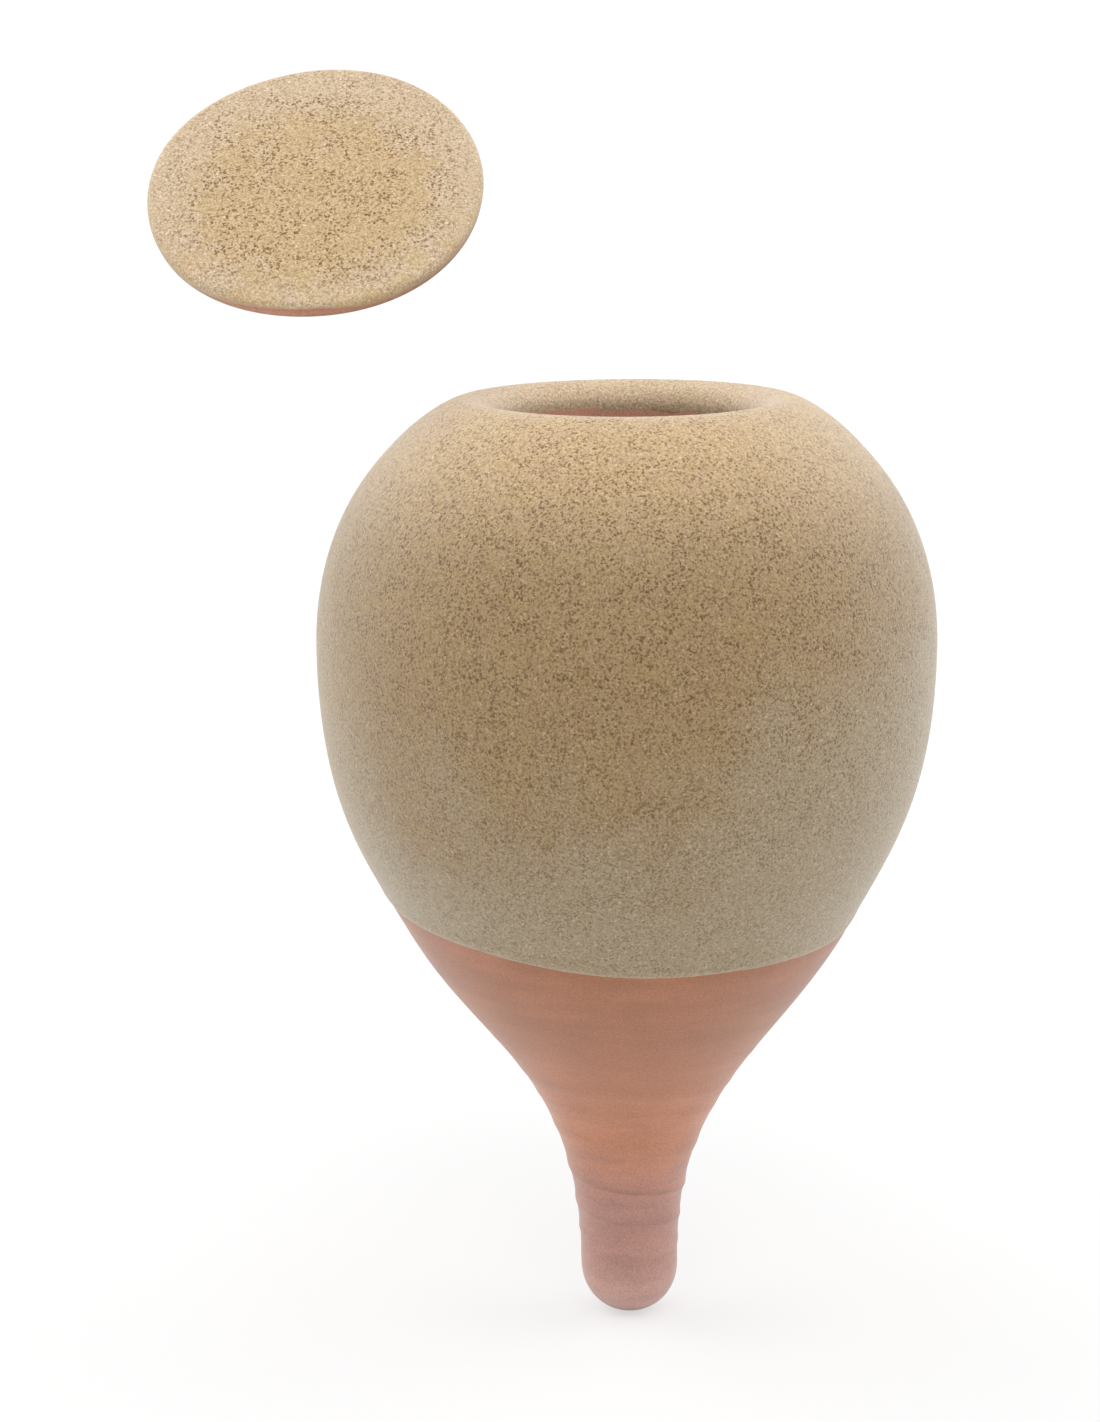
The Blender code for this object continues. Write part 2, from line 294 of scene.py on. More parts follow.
# %% Throwing rings
# Each turn's depth below the soil line at the front, and how hard it was pressed.
RING_TURNS = (
    (21.5 * MM, 0.0),
    (30.0 * MM, 0.2),
    (39.1 * MM, 0.45),
    (45.1 * MM, 0.35),
    (55.3 * MM, 0.55),
    (66.3 * MM, 1.0),
    (74.8 * MM, 0.7),
    (81.2 * MM, 0.5),
    (90.0 * MM, 0.0),
)
RING_SWELL = 0.2 * MM
RING_SWEEP = 2.8        # how late a turn steps in: at 1 it would be an even wave
RING_STEP_AT = 0.75 ** (1.0 / RING_SWEEP)       # halfway down the steep side of a turn
RING_STEP_ABOVE = 0.30
RING_STEP_BELOW = 0.05
RING_STEP_FADE = 1.5
FRONT_TURN = 0.25       # from the front of the pot round to +X, as a share of a whole turn


def ring_at(height, bearing):
    """How hard the fingers pressed at a place on the root, and how far through its turn it is."""
    depths, presses = zip(*RING_TURNS)
    press = np.interp(-height, depths, presses, left=0.0, right=0.0)
    turns = np.interp(-height, depths, range(len(depths))) - (bearing / math.tau + FRONT_TURN)
    return press, (turns + RING_STEP_AT) % 1.0


def ring_height(press, place):
    """How far a turn stands out. It swells slowly on the way down and steps in at its end."""
    return -RING_SWELL * press * math.cos(math.tau * place**RING_SWEEP)


def ring_step(press, place):
    """How dark the step is: darker down to its edge, clear at once below it, faint where weak."""
    reach = RING_STEP_ABOVE if place < RING_STEP_AT else RING_STEP_BELOW
    away = abs(RING_STEP_AT - place) / reach
    return press**2 * max(0.0, 1.0 - away) ** RING_STEP_FADE


# %% The spine's drift, the wall's swell and the rim's sag
# Heights, and how far the pot's middle stands towards +X there.
SPINE = (
    (-100.0 * MM, 0.7 * MM),
    (-65.0 * MM, 0.5 * MM),
    (-40.0 * MM, 0.8 * MM),
    (-5.0 * MM, 0.05 * MM),
    (18.0 * MM, -0.3 * MM),
    (60.0 * MM, 0.0),
)
SWELL = 0.12 * MM
SWELL_REACH = 28.0 * MM
RIM_SAG = 0.6 * MM
RIM_SAG_BEARING = math.radians(105)
RIM_SAG_REACH = 12.0 * MM


def spine_offset(height):
    """How far the pot's middle stands off the axis at a height, eased between places."""
    if height <= SPINE[0][0]:
        return SPINE[0][1]
    for (low, before), (high, after) in zip(SPINE, SPINE[1:]):
        if height < high:
            return before + (after - before) * eased((height - low) / (high - low))
    return SPINE[-1][1]


def swell_at(bearing, height):
    """How far the whole wall stands out at a place. The clay and its coat share it."""
    east, north = math.cos(bearing) * BELLY_RADIUS, math.sin(bearing) * BELLY_RADIUS
    return SWELL * wander(east, north, SWELL_REACH, height)


def sag_at(bearing, height):
    """How far the rim has sunk at a bearing. It is lowest at the back, and true at the front."""
    share = 0.5 + 0.5 * math.cos(bearing - RIM_SAG_BEARING)
    return RIM_SAG * share**2 * eased((height - RIM_HEIGHT + RIM_SAG_REACH) / RIM_SAG_REACH)


# %% The line where the glaze stops
GLAZE_FOOT = 6.2 * MM
GLAZE_TILT = math.radians(6.4)
GLAZE_RISE_BEARING = math.radians(118)
FOOT_REACH = 25.0 * MM
FOOT_WAVE = 0.35 * MM
FOOT_WAVES = 5
FOOT_WAVE_BEARING = math.radians(70)
FOOT_NICKS = 0.16 * MM
NICK_SIZE = 1.6 * MM
RUN_SIZE = 7.0 * MM
RUN_SHARE = 1.2
NICK_REACH = 3.0 * MM


def foot_rise(x, y):
    """How far the coat's foot rises over its height on the axis, at a place."""
    bearing = math.atan2(y, x)
    rise = math.cos(GLAZE_RISE_BEARING) * x + math.sin(GLAZE_RISE_BEARING) * y
    wave = FOOT_WAVE * math.cos(FOOT_WAVES * bearing - FOOT_WAVE_BEARING)
    return math.tan(GLAZE_TILT) * rise + wave


def foot_nick(x, y):
    """Small nicks in the coat's edge, where the glaze drew back or ran."""
    return FOOT_NICKS * (wander(x, y, NICK_SIZE) + RUN_SHARE * wander(x, y, RUN_SIZE))


print("the glaze's foot lies", round(GLAZE_FOOT / MM, 1), "mm over the soil line on the axis")

# %% [markdown]
# ## The clay body
#
# The body is one closed wall, as the real one is. Its section starts at the bottom of the narrow
# bore inside the root, climbs the inside of the bulb, curls under the lip, runs straight up the
# lip's inner side, passes under the glaze and comes down the bare outside to the tip. Rows of
# faces are close together only where the throwing rings are.

# %% Section of the clay
WALL = 6.0 * MM
ROOT_WALL = 6.5 * MM
ROOT_FLOOR = 12.5 * MM
LIP_ROLL = 7.0 * MM
LIP_DROP = 6.5 * MM
LIP_STRAIGHT = 2.8 * MM
LIP_THICKNESS = 11.0 * MM
LIP_UNDERCUT = 3.5 * MM
LIP_JOIN = 0.5 * MM
LIP_FOOT = RIM_HEIGHT - LIP_DROP
INSIDE_FULLNESS = (0.30, 0.687)
GLAZE_PROUD = 0.2 * MM
CLAY_RETURN = 3.0 * MM
BARE_FROM = GLAZE_FOOT + 14.0 * MM
ROUND_STEPS = 16
CLAY_SEGMENTS = 192
LIP_SPACING = 0.6 * MM
INSIDE_SPACING = 2.0 * MM
COVERED_SPACING = 3.0 * MM
BARE_SPACING = 0.58 * MM


def lip_curl():
    """From the mouth's narrowest place up over the lip to the crest."""
    return quarter((RIM_RADIUS, LIP_FOOT), LIP_ROLL, LIP_DROP, 180, 90, FINE)


def inside_section():
    """The inside of the clay, from under the lip to the pole of the bore's round bottom."""
    neck = RIM_RADIUS - LIP_ROLL + GLAZE_PROUD
    curl_drop = LIP_THICKNESS - LIP_DROP - LIP_STRAIGHT
    curl_centre = (neck + LIP_UNDERCUT, LIP_FOOT - LIP_STRAIGHT)
    curl = quarter(curl_centre, LIP_UNDERCUT, curl_drop, 180, 270, ROUND_STEPS)
    straight = evenly(np.array([[neck, LIP_FOOT - LIP_JOIN], curl[0]]), LIP_SPACING)
    under_lip = chain(straight, curl)
    belly_radius = BELLY_RADIUS - WALL
    soil_radius = SOIL_RADIUS - WALL * math.hypot(1.0, SOIL_SLOPE)
    bore_radius = ROOT_RADIUS - ROOT_WALL
    bore_depth = ROOT_DEPTH - ROOT_FLOOR - bore_radius
    dome = bezier(
        under_lip[-1],
        (INSIDE_FULLNESS[0] * (belly_radius - curl_centre[0]), 0.0),
        (0.0, INSIDE_FULLNESS[1] * (under_lip[-1][1] - BELLY_HEIGHT)),
        (belly_radius, BELLY_HEIGHT),
        FINE,
    )
    taper = shank(soil_radius, bore_radius, bore_depth)
    walls = chain(dome, flank(belly_radius, soil_radius), taper)
    bottom = quarter((0.0, -bore_depth), bore_radius, bore_radius, 0, -90, ROUND_STEPS)
    return chain(under_lip, evenly(walls, INSIDE_SPACING), bottom)


def root_tip():
    """The root's round end, down to its pole."""
    outward, down = END_FULLNESS * ROOT_RADIUS, END_FULLNESS * ROOT_END
    start = (ROOT_RADIUS, ROOT_END - ROOT_DEPTH)
    return bezier(start, (0.0, -down), (outward, 0.0), (0.0, -ROOT_DEPTH), ROUND_STEPS)


def body_section():
    """Half of the clay's section, open at both poles."""
    covered = chain(lip_curl(), shoulder(), outline_between(BELLY_HEIGHT, BARE_FROM))
    covered = evenly(inward(covered, GLAZE_PROUD), COVERED_SPACING)
    bare = evenly(outline_between(BARE_FROM, ROOT_END - ROOT_DEPTH), BARE_SPACING)
    return np.vstack([inside_section()[::-1], chain(covered, bare, root_tip())])


# %% Throw the clay body
INSIDE_RING_PITCH = 9.5 * MM
INSIDE_RING_SWELL = 0.22 * MM
ROOT_SWELL = 0.5       # the share of the wall's swell that is left below the soil line


def shape_clay(shape):
    """Press the rings, let the wall swell and let the spine drift, outside and inside."""
    step_layer = shape.verts.layers.float.new("ring_step")
    for point in shape.verts:
        x, y, z = point.co
        radius = math.hypot(x, y)
        bearing = math.atan2(y, x)
        outside = radius > outline_radius(z) - 0.5 * WALL or z < -ROOT_DEPTH + ROOT_FLOOR
        growth = swell_at(bearing, z) if radius > 0.5 * ROOT_RADIUS else 0.0
        if outside and z < 0.0:
            press, place = ring_at(z, bearing)
            point[step_layer] = ring_step(press, place)
            growth = growth * ROOT_SWELL + ring_height(press, place)
        if outside and z < BARE_FROM:
            below_foot = GLAZE_FOOT + foot_rise(x, y) - z
            growth -= GLAZE_PROUD * (1.0 - eased(below_foot / CLAY_RETURN))
        if not outside and radius > ROOT_RADIUS and z < RIM_HEIGHT - LIP_THICKNESS:
            growth += INSIDE_RING_SWELL * math.cos(math.tau * z / INSIDE_RING_PITCH + bearing)
        share = 1.0 + growth / max(radius, MM)
        point.co = Vector((x * share + spine_offset(z), y * share, z - sag_at(bearing, z)))


vessel_clay = turn(body_section(), CLAY_SEGMENTS, closed=False)
shape_clay(vessel_clay)
print("vessel clay:", len(vessel_clay.faces), "faces")

# %% [markdown]
# ## The coat of glaze on the vessel
#
# Glaze melts to a skin half a millimetre thick, which stands slightly proud of the bare clay and
# ends in a rounded lip, the foot. A thick line of paint could be faked in the material, but a
# skin of its own catches the light at its edge and keeps its thickness in the mesh. Its
# back lies just inside the clay, so that no gap shows. After turning, its rings slide along the
# wall until the foot follows the slanted, wavy dip line. In the mouth the coat thins out along a
# line of its own, a little under the lip's roll, and the clay of the inside shows below it.

# %% Section of the coat
COAT_BACK = 0.45 * MM
COAT_SINK = 0.26 * MM
EDGE_ROUND = 0.4 * MM
EDGE_STEPS = 5
BEAD = 0.15 * MM
BEAD_AT = 2.0 * MM
BEAD_WIDTH = 1.5 * MM
FOOT_LENGTH = 4.0 * MM
FOOT_STOPS = 14
COAT_SEGMENTS = 360
COAT_SPACING = 1.4 * MM
BACK_SPACING = 3.0 * MM


def rounded_end(face, forward):
    """Points that carry the coat's face round its edge and into the clay."""
    along = forward / np.linalg.norm(forward)
    into = np.array([along[1], -along[0]])
    angle = np.radians(np.linspace(0.0, 90.0, EDGE_STEPS + 1))[1:]
    reach = np.outer(np.sin(angle), along) * EDGE_ROUND
    drop = np.outer(1.0 - np.cos(angle), into) * COAT_SINK
    return face + reach + drop


def coat_section(outside):
    """The closed section of a coat, whose foot is the last end of outside, and each point's
    distance from that foot."""
    length = run_of(outside)[-1]
    main = np.linspace(0.0, length - FOOT_LENGTH, math.ceil(length / COAT_SPACING))
    last = np.linspace(length - FOOT_LENGTH, length - EDGE_ROUND, FOOT_STOPS)
    stops = np.concatenate([main, last[1:]])
    bead = BEAD * np.exp(-(((length - stops - BEAD_AT) / BEAD_WIDTH) ** 2))
    face = inward(at_stops(outside, stops), -bead)
    foot = rounded_end(face[-1], face[-1] - face[-2])
    back = inward(evenly(outside, BACK_SPACING), COAT_BACK)[1:-1][::-1]
    runs = np.concatenate([length - stops, np.zeros(len(foot)), np.full(len(back), length)])
    return np.vstack([face, foot, back]), runs


# %% Dip the vessel
MOUTH_REACH = 2.2 * MM
MOUTH_FROM = 0.3       # how far down the lip's roll the coat may start to thin, as a share
MOUTH_THINS = 3.0 * MM
MOUTH_LINE = 1.2 * MM
MOUTH_TILT = math.radians(2.5)
MOUTH_WAVE = 0.9 * MM
MOUTH_WAVE_SIZE = 7.0 * MM
MOUTH_RUN_SIZE = 2.0 * MM
MOUTH_RUN_SHARE = 0.3


def mouth_line(x, y):
    """The height at which the coat ends in the mouth: tilted, and wavy where it ran."""
    wave = wander(x, y, MOUTH_WAVE_SIZE) + MOUTH_RUN_SHARE * wander(x, y, MOUTH_RUN_SIZE)
    return LIP_FOOT - MOUTH_LINE - math.tan(MOUTH_TILT) * x + MOUTH_WAVE * wave


def shape_coat(shape):
    """Slide the coat along the wall to its dip line, and let it swell and drift with the clay."""
    for point in shape.verts:
        x, y, z = point.co
        radius = math.hypot(x, y)
        bearing = math.atan2(y, x)
        from_foot = (z - GLAZE_FOOT) / FOOT_REACH
        moved = z
        if abs(from_foot) < 1.0:
            moved += foot_rise(x, y) * (1.0 - from_foot**2) ** 2
        nearness = max(0.0, 1.0 - abs(z - GLAZE_FOOT) / NICK_REACH)
        if nearness > 0.0:
            moved += foot_nick(x, y) * nearness**2
        growth = swell_at(bearing, z) + outline_radius(moved) - outline_radius(z)
        if radius < RIM_RADIUS and z < RIM_HEIGHT - MOUTH_FROM * LIP_DROP:
            below_line = (mouth_line(x, y) + MOUTH_THINS - z) / MOUTH_THINS
            growth = swell_at(bearing, z) + COAT_SINK * eased(below_line)
        share = 1.0 + growth / radius
        point.co = Vector((x * share + spine_offset(moved), y * share, moved - sag_at(bearing, z)))


def mouth_curl():
    """The lip's inner side, from where the coat ends in the mouth up to the crest."""
    neck = RIM_RADIUS - LIP_ROLL
    straight = np.array([[neck, LIP_FOOT - MOUTH_REACH], [neck, LIP_FOOT]])
    return chain(straight, lip_curl())


coat_outside = chain(mouth_curl(), shoulder(), outline_between(BELLY_HEIGHT, GLAZE_FOOT))
section, runs = coat_section(coat_outside)
COAT_LENGTH = runs.max()
vessel_coat = turn(section, COAT_SEGMENTS, closed=True, edge_run=runs)
shape_coat(vessel_coat)
print("vessel coat:", len(vessel_coat.faces), "faces,", round(COAT_LENGTH / MM, 1), "mm long")

# %% [markdown]
# ## The lid
#
# The lid is a thin disc, slightly domed above and slightly dished below, so that it rests on its
# outer ring. It was cut by hand, so its edge is not quite round. Its glaze runs over the edge and
# stops short of the bottom along an uneven line, so a band of bare clay shows, wider where the
# glaze drew back. The lid is made on its seat and then turned aside by the joint that the record
# gives, with a matrix applied to the mesh itself, so that the piece's object can stay at the
# origin.

# %% Sections of the lid
LID_RADIUS = 41.0 * MM
LID_HEIGHT = 6.3 * MM
LID_CROWN = 2.0 * MM
LID_BROW = LID_HEIGHT - LID_CROWN
LID_ROUND = 2.2 * MM
EDGE_FULLNESS = 0.6
LID_CLAY_BAND = 2.0 * MM
LID_FOOT_ROUND = 1.0 * MM
LID_SEAT_WIDTH = 8.0 * MM
LID_DISH = 1.5 * MM
LID_SEAT_GAP = 0.3 * MM
LID_SEGMENTS = 288
LID_SPACING = 0.9 * MM
LID_BAND_SPACING = 0.3 * MM


def lid_top():
    """The lid's glazed side from the middle of the crown to the clay band on its edge."""
    inner = LID_RADIUS - LID_ROUND
    slope = np.array([inner, -2.0 * LID_CROWN])
    crown = bezier((0.0, LID_HEIGHT), (inner / 3, 0.0), -slope / 3, (inner, LID_BROW), FINE)
    outward = EDGE_FULLNESS * LID_ROUND / inner * slope
    upward = (0.0, EDGE_FULLNESS * (LID_BROW - LID_CLAY_BAND))
    edge = bezier((inner, LID_BROW), outward, upward, (LID_RADIUS, LID_CLAY_BAND), FINE)
    return chain(crown, edge)


LID_OUTLINE = lid_top()


def lid_clay_section():
    """Half of the lid's clay, open at both poles."""
    covered = evenly(inward(LID_OUTLINE, GLAZE_PROUD), LID_SPACING)
    covered[0, 0] = 0.0
    bare_radius = covered[-1][0]
    band = np.array([[bare_radius, covered[-1][1]], [bare_radius, LID_FOOT_ROUND]])
    foot_centre = (bare_radius - LID_FOOT_ROUND, LID_FOOT_ROUND)
    foot = quarter(foot_centre, LID_FOOT_ROUND, LID_FOOT_ROUND, 0, -90, ROUND_STEPS)
    seat_inner = foot_centre[0] - LID_SEAT_WIDTH
    seat = np.array([foot[-1], [seat_inner, 0.0]])
    ease = seat_inner / 3
    dish = bezier((seat_inner, 0.0), (-ease, 0.0), (ease, 0.0), (0.0, LID_DISH), FINE)
    below = evenly(chain(seat, dish), LID_SPACING)
    return chain(covered, evenly(band, LID_BAND_SPACING), foot, below)


# %% How the hand left the lid
# Waves round the lid's edge: how many, how far they stand out and the angle of their phase.
LID_LOBES = (
    (3, 0.235 * MM, math.radians(-13)),
    (4, 0.19 * MM, math.radians(-72)),
    (5, 0.105 * MM, math.radians(41)),
)
LID_UNEVENNESS = 0.16 * MM
LID_UNEVEN_SIZE = 14.0 * MM
LID_EDGE_WIDTH = 2.0 * MM
LID_LINE = 1.6 * MM
LID_LINE_RISE = 1.5 * MM
LID_LINE_BEARING = math.radians(193)
LID_LINE_REACH = math.radians(38)
LID_LINE_WAVE = 0.35 * MM
LID_WAVE_SIZE = 6.0 * MM
LID_WAVE_LAYER = 9.0 * MM
LID_RUN_SIZE = 1.7 * MM
LID_RUN_LAYER = 5.0 * MM
LID_RUN_SHARE = 0.4


def lid_edge_radius(height):
    return np.interp(height, LID_OUTLINE[::-1, 1], LID_OUTLINE[::-1, 0])


def lid_line(x, y):
    """The height at which the lid's coat ends: low and wavy, with one place where it drew back."""
    away = abs((math.atan2(y, x) - LID_LINE_BEARING + math.pi) % math.tau - math.pi)
    drawn_back = LID_LINE_RISE * eased(1.0 - away / LID_LINE_REACH)
    run = LID_RUN_SHARE * wander(x, y, LID_RUN_SIZE, LID_RUN_LAYER)
    wave = wander(x, y, LID_WAVE_SIZE, LID_WAVE_LAYER) + run
    return LID_LINE + drawn_back + LID_LINE_WAVE * wave


def shape_lid(shape, is_coat):
    """Give the lid its hand-cut edge, an uneven face and, for the coat, its dip line."""
    height_layer = shape.verts.layers.float.new("edge_height")
    for point in shape.verts:
        x, y, z = point.co
        bearing = math.atan2(y, x)
        radius = math.hypot(x, y)
        growth = sum(out * math.cos(count * bearing - phase) for count, out, phase in LID_LOBES)
        growth *= min(1.0, radius / LID_RADIUS)
        lift = LID_UNEVENNESS * wander(x, y, LID_UNEVEN_SIZE) * min(1.0, z / LID_HEIGHT)
        point[height_layer] = z if radius > LID_RADIUS - LID_EDGE_WIDTH else LID_HEIGHT
        if is_coat and z < LID_BROW:
            lowness = min(1.0, (LID_BROW - z) / (LID_BROW - LID_CLAY_BAND))
            slide = (lid_line(x, y) - LID_CLAY_BAND) * lowness
            growth += lid_edge_radius(z + slide) - lid_edge_radius(z)
            lift += slide
        share = 1.0 + growth / max(radius, MM)
        point.co = Vector((x * share, y * share, z + lift))


# %% Roll, dip and swing the lid
def swing_aside(shape):
    """Lift a piece of the lid to its seat and turn it aside, as the joint holds it at rest."""
    swing = frame["record"]["behaviour"]["joints"][0]
    pivot = Vector(swing["pos_m"])
    lowest, highest = swing["range_deg"]
    turned = Matrix.Rotation(math.radians(highest - lowest), 4, Vector(swing["axis"]))
    seated = Matrix.Translation((0.0, 0.0, RIM_HEIGHT + LID_SEAT_GAP))
    place = Matrix.Translation(pivot) @ turned @ Matrix.Translation(-pivot) @ seated
    bmesh.ops.transform(shape, matrix=place, verts=shape.verts)


lid_clay = turn(lid_clay_section(), LID_SEGMENTS, closed=False)
shape_lid(lid_clay, is_coat=False)
swing_aside(lid_clay)

lid_section, lid_runs = coat_section(LID_OUTLINE)
lid_section[0, 0] = lid_section[-1, 0] = 0.0
lid_coat = turn(lid_section, LID_SEGMENTS, closed=False, edge_run=lid_runs)
shape_lid(lid_coat, is_coat=True)
swing_aside(lid_coat)
print("lid clay:", len(lid_clay.faces), "faces, lid coat:", len(lid_coat.faces), "faces")

# %% [markdown]
# ## Finishes from nodes
#
# A finish is a small graph of nodes that turns a place on the object into a colour, a roughness
# and a height for the bump. A helper keeps the graphs short: each of its methods adds one node or
# two, plugs in what it is given and returns the new node's output, so a graph reads like a sum.


# %% A helper that lays nodes
class Finish:
    """A material being made. Values given to a method may be numbers, colours or other outputs."""

    def __init__(self, name):
        self.material = bpy.data.materials.new(name)
        self.material.use_nodes = True
        self.nodes = self.material.node_tree.nodes
        self.links = self.material.node_tree.links
        self.shader = self.nodes["Principled BSDF"]
        self.place = self.nodes.new("ShaderNodeTexCoord").outputs["Object"]

    def plug(self, socket, value):
        if isinstance(value, bpy.types.NodeSocket):
            self.links.new(value, socket)
        elif isinstance(value, tuple) and len(value) == 3 and socket.type == "RGBA":
            socket.default_value = (*value, 1.0)
        else:
            socket.default_value = value

    def attribute(self, name):
        node = self.nodes.new("ShaderNodeAttribute")
        node.attribute_name = name
        return node.outputs["Fac"]

    def grain(self, size, detail=2.0, roughness=0.5, place=None, colour=False):
        """Cloudy noise whose features are about size metres across."""
        node = self.nodes.new("ShaderNodeTexNoise")
        self.plug(node.inputs["Vector"], place or self.place)
        self.plug(node.inputs["Scale"], 1.0 / size)
        self.plug(node.inputs["Detail"], detail)
        self.plug(node.inputs["Roughness"], roughness)
        return node.outputs["Color" if colour else "Fac"]

    def cells(self, size, place):
        """Scattered seeds: the distance to the nearest one, in cells, and its random colour."""
        node = self.nodes.new("ShaderNodeTexVoronoi")
        self.plug(node.inputs["Vector"], place)
        self.plug(node.inputs["Scale"], 1.0 / size)
        return node.outputs["Distance"], node.outputs["Color"]

    def maths(self, operation, a, b=0.0, c=0.0):
        node = self.nodes.new("ShaderNodeMath")
        node.operation = operation
        for socket, value in zip(node.inputs, (a, b, c)):
            self.plug(socket, value)
        return node.outputs["Value"]

    def vectors(self, operation, a, b):
        node = self.nodes.new("ShaderNodeVectorMath")
        node.operation = operation
        self.plug(node.inputs[0], a)
        self.plug(node.inputs[1], b)
        return node.outputs["Vector"]

    def scaled(self, colour, by):
        """A colour made lighter or darker."""
        node = self.nodes.new("ShaderNodeVectorMath")
        node.operation = "SCALE"
        self.plug(node.inputs[0], colour)
        self.plug(node.inputs["Scale"], by)
        return node.outputs["Vector"]

    def part_of(self, vector, letter):
        node = self.nodes.new("ShaderNodeSeparateXYZ")
        self.plug(node.inputs["Vector"], vector)
        return node.outputs[letter]

    def ease(self, value, low, high, start=0.0, end=1.0):
        """A smooth step from start to end while value goes from low to high."""
        node = self.nodes.new("ShaderNodeMapRange")
        node.interpolation_type = "SMOOTHSTEP"
        self.plug(node.inputs["Value"], value)
        self.plug(node.inputs["From Min"], low)
        self.plug(node.inputs["From Max"], high)
        self.plug(node.inputs["To Min"], start)
        self.plug(node.inputs["To Max"], end)
        return node.outputs["Result"]

    def drifted(self, value, cloud, reach):
        """A value moved up or down by a cloudy noise, by reach at most."""
        return self.maths("ADD", value, self.maths("MULTIPLY_ADD", cloud, 2.0 * reach, -reach))

    def blend(self, share, before, after):
        """One colour laid over another."""
        node = self.nodes.new("ShaderNodeMix")
        node.data_type = "RGBA"
        self.plug(node.inputs["Factor"], share)
        self.plug(node.inputs[6], before)
        self.plug(node.inputs[7], after)
        return node.outputs[2]

    def surface(self, colour, roughness, gloss, sheen):
        """Give the shader its colour and roughness, and how much gloss and sheen it has."""
        self.plug(self.shader.inputs["Base Color"], colour)
        self.plug(self.shader.inputs["Roughness"], roughness)
        self.plug(self.shader.inputs["Specular IOR Level"], gloss)
        self.plug(self.shader.inputs["Sheen Weight"], sheen)

    def bump(self, height, depth):
        """A bump whose height of 1 stands depth metres proud."""
        node = self.nodes.new("ShaderNodeBump")
        self.plug(node.inputs["Distance"], depth)
        self.plug(node.inputs["Height"], height)
        self.links.new(node.outputs["Normal"], self.shader.inputs["Normal"])


# %% [markdown]
# ## Speckled glaze
#
# Stoneware glaze over a clay with iron in it is never one colour. Iron melts through it in dots
# half a millimetre wide, which touch here and there and run into threads. Between them lie paler
# grains. A picture of glaze would repeat and would need unwrapping, so seeds and noise that read
# the place on the object are used: they have no seam and no end. On the vessel the glaze is grey
# near its foot and higher up on the right. On the shoulder and the lip it is paler, and painted
# light and a painted highlight from the lamps above are added there too. On the lid it is paler,
# more matte, and pinker towards the edge, and painted light makes it paler towards its top.
#
# Colours are written as the share of red, green and blue light that comes back.

# %% Iron specks
SPECK = (0.108, 0.043, 0.002)
LID_SPECK = (0.195, 0.082, 0.008)
FLECK_DRIFT = 0.8 * MM
FLECK_DRIFT_SIZE = 1.3 * MM
SMALLEST_DOT = 0.13
DOT_RANGE = 0.30
DOT_SOFTNESS = 0.08
FAINTEST_DOT = 0.68
THREAD_SIZE = 0.72 * MM
CROWD_SIZE = 6.0 * MM


def lay_flecks(glaze, dot_size, fewest):
    """Specks, from 0 to 1: round dots of many sizes, and threads where they have run together."""
    cloud = glaze.grain(FLECK_DRIFT_SIZE, 1.0, colour=True)
    drift = glaze.scaled(glaze.vectors("SUBTRACT", cloud, (0.5, 0.5, 0.5)), FLECK_DRIFT)
    warped = glaze.vectors("ADD", glaze.place, drift)
    distance, seed = glaze.cells(dot_size, warped)
    size = glaze.maths("MULTIPLY_ADD", glaze.part_of(seed, "X"), DOT_RANGE, SMALLEST_DOT)
    dots = glaze.ease(glaze.maths("SUBTRACT", distance, size), DOT_SOFTNESS, -DOT_SOFTNESS)
    strength = glaze.ease(glaze.part_of(seed, "Y"), 0.0, 1.0, FAINTEST_DOT, 1.0)
    dots = glaze.maths("MULTIPLY", dots, strength)
    threads = glaze.ease(glaze.grain(THREAD_SIZE, 2.0, 0.6, warped), 0.52, 0.66)
    crowd = glaze.ease(glaze.grain(CROWD_SIZE, 2.0), 0.36, 0.58, fewest, 1.0)
    return glaze.maths("MULTIPLY", glaze.maths("MAXIMUM", dots, threads), crowd)


# %% Grain, gloss and relief of the glaze
DEEP_TINT = (0.80, 0.765, 0.64)
LIGHT_TINT = (1.18, 1.21, 1.34)
PALE_GAIN = 1.25
PALE_LIFT = (0.065, 0.080, 0.095)
FINE_GRAIN = 0.5 * MM
PALE_GRAIN = 0.62 * MM
EDGE_BAND = 1.6 * MM
EDGE_CREAMY = 0.3 * MM
EDGE_CLEAR = 0.2 * MM
GLAZE_ROUGHNESS = (0.57, 0.45)
GLAZE_SHEEN_TINT = (1.0, 0.96, 0.87)
RELIEF = 0.12 * MM
RELIEF_SIZE = 0.8 * MM
SPECK_PIT = 0.5


